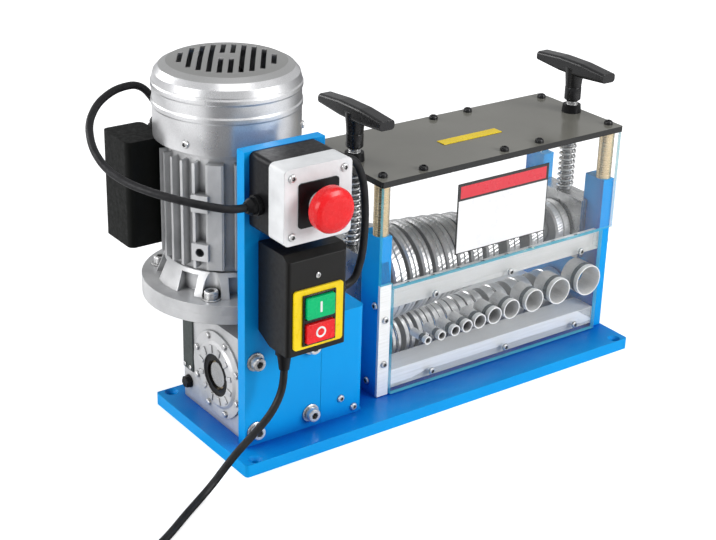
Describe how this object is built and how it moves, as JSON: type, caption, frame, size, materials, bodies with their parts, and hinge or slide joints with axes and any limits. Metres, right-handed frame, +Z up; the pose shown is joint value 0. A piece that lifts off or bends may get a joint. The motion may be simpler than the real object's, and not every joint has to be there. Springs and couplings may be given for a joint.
{
  "type": "wire stripping machine",
  "caption": "bench machine whose geared motor turns ring blades under pressure rollers to slit the insulation of cables fed through graded guide tubes",
  "frame": {"origin": "centre of the base plate's underside, on the bench", "axes": "+X along the base plate from the motor to the head, -Y the side where cables are fed in, +Z up"},
  "size_m": [0.6766, 0.4009, 0.35],
  "materials": {
    "blue_paint": "satin bright blue paint",
    "cast_aluminium": "sand-cast and lightly painted silver",
    "cowl_silver": "pressed sheet with silver paint",
    "black_plastic": "moulded black plastic",
    "grey_cover": "pale grey moulded plastic",
    "red_plastic": "glossy red plastic",
    "green_plastic": "glossy green plastic",
    "yellow_plate": "yellow face plate",
    "machined_steel": "turned and ground steel",
    "bolt_steel": "zinc-plated steel",
    "brass": "turned brass",
    "clear_panel": "clear acrylic sheet with polished edges",
    "smoked_plate": "smoked glossy sheet",
    "bright_aluminium": "clear anodised aluminium",
    "sign_white": "white plate with a red band and a black edge",
    "black_rubber": "matt black cable sheath"
  },
  "bodies": {
    "machine": {"base_plate": "blue_paint", "drive_bracket": "blue_paint", "gear_guard": "blue_paint", "left_frame": "blue_paint", "right_frame": "blue_paint", "gearbox_housing": "cast_aluminium", "gearbox_covers": "cast_aluminium", "motor_flange": "cast_aluminium", "motor_housing": "cast_aluminium", "motor_end_shield": "cast_aluminium", "fan_cowl": "cowl_silver", "motor_boxes": "black_plastic", "capacitor": "bright_aluminium", "stator": "machined_steel", "fixed_bearings": "bolt_steel", "estop_base": "black_plastic", "estop_cover": "grey_cover", "legend_plate": "black_plastic", "contact_blocks": "black_plastic", "switch_housing": "black_plastic", "switch_plate": "yellow_plate", "cable_glands": "black_plastic", "control_leads": "black_rubber", "supply_cord": "black_rubber", "supply_coil": "black_rubber", "plug_body": "black_rubber", "plug_pins": "brass", "aluminium_bars": "bright_aluminium", "guide_tubes": "bright_aluminium", "front_panel": "clear_panel", "clear_guards": "clear_panel", "sign_plate": "sign_white", "pillars": "brass", "top_plate": "smoked_plate", "screw_bushes": "black_plastic", "plate_screws": "black_plastic", "pressure_springs": "bolt_steel", "mount_bolts": "bolt_steel", "small_screws": "bolt_steel"},
    "lower_rotor": {"lower_shaft": "machined_steel", "driven_gear": "machined_steel", "feed_wheels": "machined_steel", "ring_blades": "machined_steel"},
    "output_rotor": {"worm_wheel": "brass", "output_shaft": "machined_steel", "output_gear": "machined_steel"},
    "motor_spindle": {"motor_rotor": "machined_steel", "cooling_fan": "black_plastic"},
    "pressure_head": {"bearing_blocks": "machined_steel", "block_bearings": "bolt_steel"},
    "upper_rotor": {"upper_shaft": "machined_steel", "pressure_rollers": "machined_steel"},
    "left_screw": {"screw_left": "machined_steel", "handle_left": "black_plastic"},
    "right_screw": {"screw_right": "machined_steel", "handle_right": "black_plastic"},
    "stop_plunger": {"estop_stem": "grey_cover"},
    "stop_cap": {"estop_mushroom": "red_plastic"},
    "start_key": {"start_button": "green_plastic"},
    "stop_key": {"stop_button": "red_plastic"}
  },
  "joints": [
    {"name": "lower_spin", "type": "hinge", "parent": "machine", "child": "lower_rotor", "pos_m": [0.08, 0.018, 0.038], "axis": [1, 0, 0], "continuous": true},
    {"name": "output_spin", "type": "hinge", "parent": "machine", "child": "output_rotor", "pos_m": [-0.178, 0, 0.062], "axis": [1, 0, 0], "continuous": true},
    {"name": "motor_spin", "type": "hinge", "parent": "machine", "child": "motor_spindle", "pos_m": [-0.178, 0.04, 0.2], "axis": [0, 0, 1], "continuous": true},
    {"name": "pressure_lift", "type": "slide", "parent": "machine", "child": "pressure_head", "axis": [0, 0, 1], "range_m": [-0.002, 0.01], "deforming": ["pressure_springs"]},
    {"name": "upper_spin", "type": "hinge", "parent": "pressure_head", "child": "upper_rotor", "pos_m": [0.085, 0.018, 0.112], "axis": [1, 0, 0], "continuous": true},
    {"name": "left_turn", "type": "hinge", "parent": "pressure_head", "child": "left_screw", "pos_m": [-0.053, 0.018, 0.2], "axis": [0, 0, 1], "range_deg": [-412, 2058]},
    {"name": "right_turn", "type": "hinge", "parent": "pressure_head", "child": "right_screw", "pos_m": [0.223, 0.018, 0.2], "axis": [0, 0, 1], "range_deg": [-412, 2058]},
    {"name": "stop_press", "type": "slide", "parent": "machine", "child": "stop_plunger", "axis": [0, 1, 0], "range_m": [0, 0.005], "stiffness_N_per_m": 600, "springref_m": -0.003},
    {"name": "stop_twist", "type": "hinge", "parent": "stop_plunger", "child": "stop_cap", "pos_m": [-0.18, -0.125, 0.2615], "axis": [0, 1, 0], "range_deg": [0, 45], "stiffness_Nm_per_rad": 0.05, "springref_deg": -5.73},
    {"name": "start_press", "type": "slide", "parent": "machine", "child": "start_key", "axis": [0, 1, 0], "range_m": [0, 0.003], "stiffness_N_per_m": 500, "springref_m": -0.002},
    {"name": "off_press", "type": "slide", "parent": "machine", "child": "stop_key", "axis": [0, 1, 0], "range_m": [0, 0.003], "stiffness_N_per_m": 500, "springref_m": -0.002}
  ],
  "couplings": [
    {"joint": "output_spin", "follows": "lower_spin", "ratio": -1},
    {"joint": "motor_spin", "follows": "lower_spin", "ratio": 15},
    {"joint": "left_turn", "follows": "pressure_lift", "rad_per_m": 3590.4},
    {"joint": "right_turn", "follows": "pressure_lift", "rad_per_m": 3590.4}
  ]
}
